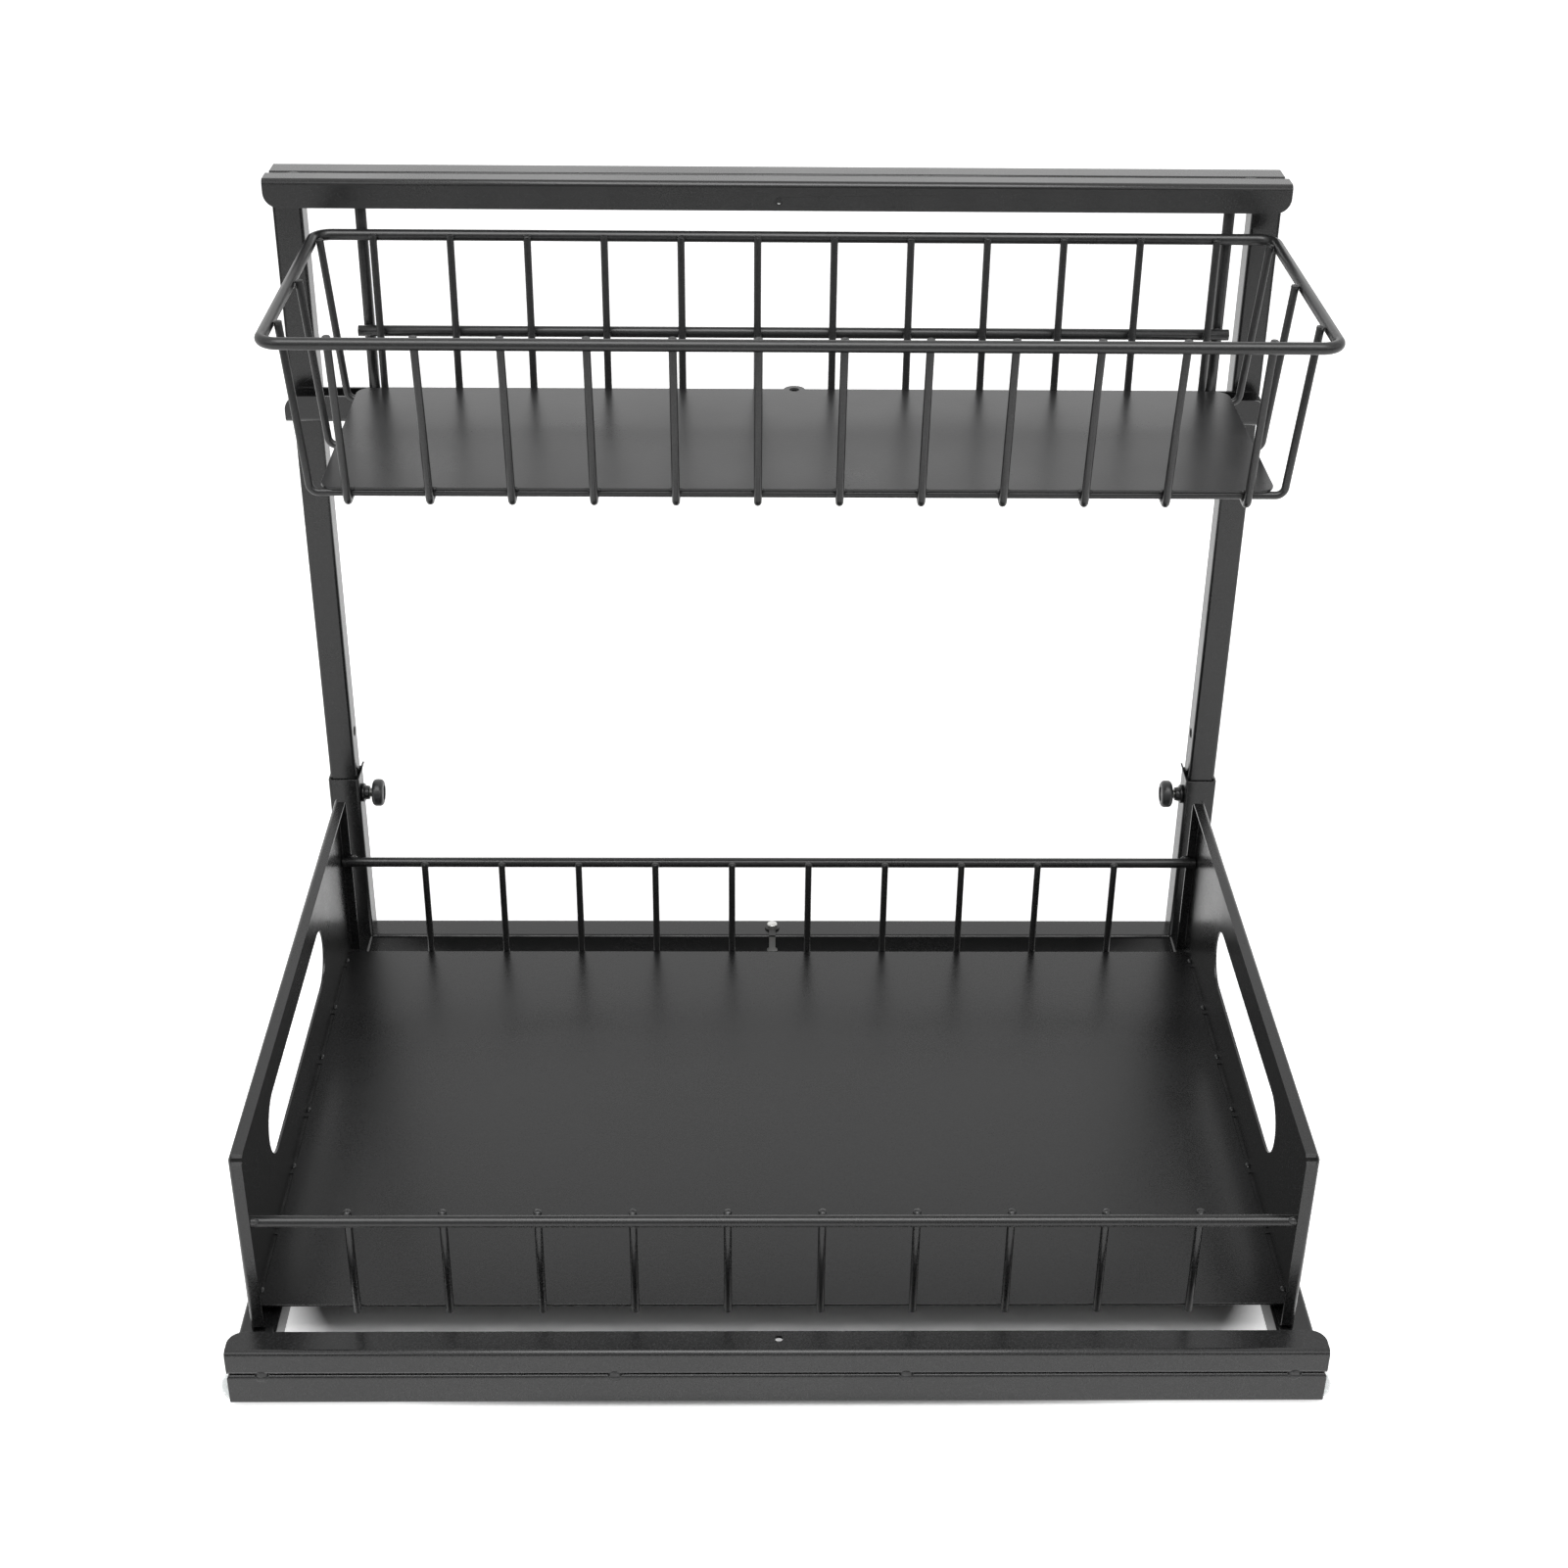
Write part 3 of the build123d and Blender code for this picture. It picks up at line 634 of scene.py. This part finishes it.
# Tray: coat in the narrow joint between the floor and each side panel, and a weld at every tab
TAB_COUNT = 7
TAB_MARGIN = 16.5 * MM
JOINT_WIDTH = 1.0 * MM
JOINT_RECESS = 0.5 * MM
JOINT_DEPTH = 0.4 * MM
tray_floor_low, tray_floor_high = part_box("tray_floor")
panel_low, panel_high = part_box("left_side_panel")
tab_pitch = (panel_high.y - panel_low.y - 2 * TAB_MARGIN) / (TAB_COUNT - 1)


def joint_profile(panel_face, side):
    """The function that gives the cross-section of the coat beside one panel, a little below
    the floor's face."""
    floor_edge = panel_face + side * JOINT_WIDTH
    top = tray_floor_high.z - JOINT_RECESS
    bottom = top - JOINT_DEPTH

    def corners(along, ripple):
        return [(panel_face, along, bottom), (panel_face, along, top + ripple),
                (floor_edge, along, top), (floor_edge, along, bottom)]

    return corners


tab_beads = []
for side, panel_face, name in ((1, tray_floor_low.x + SHEET, "left_floor_seam"),
                               (-1, tray_floor_high.x - SHEET, "right_floor_seam")):
    coat_strip(name, "tray", tray_coat, joint_profile(panel_face, side),
               tray_floor_low.y, tray_floor_high.y, seed=side)
    for index in range(TAB_COUNT):
        tab_y = panel_low.y + TAB_MARGIN + index * tab_pitch
        place = (panel_face + side * TAB_BEAD_INSET, tab_y, tray_floor_high.z + TAB_BEAD_RISE)
        tab_beads.append((place, TAB_BEAD))
weld_beads("tab_welds", "tray", weld_coat_painted_highlight, tab_beads, seed=7.0)

# Cut edges that catch the light
for node in ("tray_floor", "basket_floor", "left_side_panel", "right_side_panel"):
    soften(nodes[node], SHEET_BEVEL)
for node in ("front_channel", "mid_channel", "top_channel"):
    soften(nodes[node], CHANNEL_BEVEL)
for node in ("left_sleeve", "right_sleeve", "left_post", "right_post", "top_tube", "rear_clip"):
    soften(nodes[node], TUBE_BEVEL)
for node in ("left_weld_nut", "right_weld_nut", "left_upright", "right_upright",
             "basket_cross_rod"):
    soften(nodes[node], SHEET_BEVEL)

# Cropped wire ends, rounded by the coat
for node in ("tray_front_wires", "tray_rear_wires"):
    wires = cropped_wires(node, "tray", TRAY_TIP_DROP)
    soften(wires, TIP_BEVEL, segments=TIP_SEGMENTS)
for node in ("basket_cross_wires", "front_long_wire", "middle_long_wire", "rear_long_wire"):
    wires = cropped_wires(node, "basket", BASKET_TIP_DROP)
    soften(wires, TIP_BEVEL, segments=TIP_SEGMENTS)

# Studio

# Floor: a white sweep whose lift to white fades out in the organizer's shadow
FLOOR_HALF = 6.0
FLOOR_ALBEDO = 0.92
FLOOR_ROUGHNESS = 0.9
FLOOR_SPECULAR = 0.1
FLOOR_LIFT = 0.71
SHADOW_WIDTH_SHARE = 0.93
SHADOW_EDGE = (0.97, 1.05)
SHADOW_SQUARENESS = 4.0
FAR_FRONT = (-1.2, -0.5)
FAR_FRONT_SHADE = 0.7

# World: the share of white that lights, and the dark room that reflections see low in front
AMBIENT = 0.32
ROOM_SHADE = 0.65
ROOM_FRONT = (-0.75, -0.30)
ROOM_TOP = (0.25, 0.55)

# Soft lamps: name, place, width, height and power in watts
SOFTBOXES = (
    ("overhead", (0.0, -0.70, 1.8), 1.5, 1.0, 25.0),
    ("rear", (0.0, 2.6, 1.0), 2.8, 0.9, 3.6),
    ("front_left", (-1.4, -1.3, 1.3), 0.7, 0.7, 2.5),
    ("front_right", (1.4, -1.3, 1.3), 0.7, 0.7, 2.5),
)


def seen_directly(tree):
    """1 for camera, glossy and transmission rays, 0 for the rest."""
    path = tree.nodes.new("ShaderNodeLightPath")
    total = added(tree, path.outputs["Is Camera Ray"], path.outputs["Is Glossy Ray"])
    total = added(tree, total, path.outputs["Is Transmission Ray"])
    limit = tree.nodes.new("ShaderNodeClamp")
    tree.links.new(total, limit.inputs["Value"])
    return limit.outputs["Result"]


def only_glossy(tree):
    """1 for glossy rays, 0 for the rest."""
    return tree.nodes.new("ShaderNodeLightPath").outputs["Is Glossy Ray"]


def distance_in_footprints(tree, coordinate, half_x, half_y):
    """How far a floor point is from the middle, where 1 is the edge of a rounded rectangle of the
    given half sizes."""
    stretch = tree.nodes.new("ShaderNodeVectorMath")
    stretch.operation = "DIVIDE"
    stretch.inputs[1].default_value = (half_x, half_y, 1.0)
    tree.links.new(coordinate, stretch.inputs[0])
    parts = vector_parts(tree, stretch.outputs["Vector"])
    total = added(tree, raised(tree, parts["X"], SHADOW_SQUARENESS),
                  raised(tree, parts["Y"], SHADOW_SQUARENESS))
    return raised(tree, total, 1.0 / SHADOW_SQUARENESS)


def white_sweep(name):
    """Matt white that is lifted to full white except in the organizer's shadow, and less so in
    reflections of its far front."""
    material, tree, shader, place = new_material(name)
    shader.inputs["Base Color"].default_value = (FLOOR_ALBEDO, FLOOR_ALBEDO, FLOOR_ALBEDO, 1.0)
    shader.inputs["Roughness"].default_value = FLOOR_ROUGHNESS
    shader.inputs["Specular IOR Level"].default_value = FLOOR_SPECULAR
    away = distance_in_footprints(tree, place, SHADOW_WIDTH_SHARE * cad_high.x, cad_high.y)
    lift = mapped(tree, away, SHADOW_EDGE, (0.0, FLOOR_LIFT))
    far_front = mapped(tree, vector_parts(tree, place)["Y"], FAR_FRONT, FALLING)
    far_front = multiplied(tree, far_front, only_glossy(tree))
    lift = multiplied(tree, lift, less_share(tree, far_front, FAR_FRONT_SHADE))
    glow = tree.nodes.new("ShaderNodeEmission")
    tree.links.new(multiplied(tree, seen_directly(tree), lift), glow.inputs["Strength"])
    both = tree.nodes.new("ShaderNodeAddShader")
    tree.links.new(shader.outputs["BSDF"], both.inputs[0])
    tree.links.new(glow.outputs["Emission"], both.inputs[1])
    tree.links.new(both.outputs["Shader"], tree.nodes["Material Output"].inputs["Surface"])
    return material


# Studio floor
floor_mesh = bpy.data.meshes.new("studio_floor")
floor_corners = [(x * FLOOR_HALF, y * FLOOR_HALF, 0)
                 for x, y in ((-1, -1), (1, -1), (1, 1), (-1, 1))]
floor_mesh.from_pydata(floor_corners, [], [(0, 1, 2, 3)])
studio_floor = bpy.data.objects.new("studio_floor", floor_mesh)
bpy.context.scene.collection.objects.link(studio_floor)
floor_mesh.materials.append(white_sweep("studio_floor"))

# World: white to look at, dimmer as a light, and darker in reflections low in front
world = bpy.data.worlds.new("studio")
bpy.context.scene.world = world
world.use_nodes = True
sky = world.node_tree
background = sky.nodes["Background"]
background.inputs["Color"].default_value = (1.0, 1.0, 1.0, 1.0)
direction = sky.nodes.new("ShaderNodeTexCoord").outputs["Generated"]
direction_parts = vector_parts(sky, direction)
in_front = mapped(sky, direction_parts["Y"], ROOM_FRONT, FALLING)
low_down = mapped(sky, direction_parts["Z"], ROOM_TOP, FALLING)
room = multiplied(sky, multiplied(sky, in_front, low_down), only_glossy(sky))
white = mapped(sky, seen_directly(sky), UNIT, (AMBIENT, 1.0))
brightness = multiplied(sky, white, less_share(sky, room, ROOM_SHADE))
sky.links.new(brightness, background.inputs["Strength"])


def softbox(name, place, target, width, height, power):
    """A rectangular soft light that looks at a point."""
    light = bpy.data.lights.new(name, "AREA")
    light.shape = "RECTANGLE"
    light.size = width
    light.size_y = height
    light.energy = power
    lamp = bpy.data.objects.new(name, light)
    lamp.location = place
    aim = Vector(target) - Vector(place)
    lamp.rotation_euler = aim.to_track_quat("-Z", "Y").to_euler()
    lamp.visible_camera = False
    bpy.context.scene.collection.objects.link(lamp)


middle = (cad_low + cad_high) / 2
for name, place, width, height, power in SOFTBOXES:
    softbox(name, place, middle, width, height, power)

# Camera, solved from the photograph's straight edges: angles in degrees, lens in millimetres
CAMERA_PLACE = Vector((-0.01221, -0.79281, 0.64682))
CAMERA_YAW = 1.047
CAMERA_PITCH = 30.3878
CAMERA_ROLL = -0.6369
CAMERA_LENS = 53.71
CAMERA_SENSOR = 36.0
CAMERA_REACH = 50.0
camera_data = bpy.data.cameras.new("camera")
camera_data.lens = CAMERA_LENS
camera_data.sensor_width = CAMERA_SENSOR
camera_data.clip_end = CAMERA_REACH
camera = bpy.data.objects.new("camera", camera_data)
turn = (Matrix.Rotation(math.radians(-CAMERA_YAW), 4, "Z")
        @ Matrix.Rotation(math.radians(90.0 - CAMERA_PITCH), 4, "X")
        @ Matrix.Rotation(math.radians(-CAMERA_ROLL), 4, "Z"))
camera.matrix_world = Matrix.Translation(CAMERA_PLACE) @ turn
bpy.context.scene.collection.objects.link(camera)
bpy.context.scene.camera = camera
bpy.context.scene.view_settings.view_transform = "Standard"
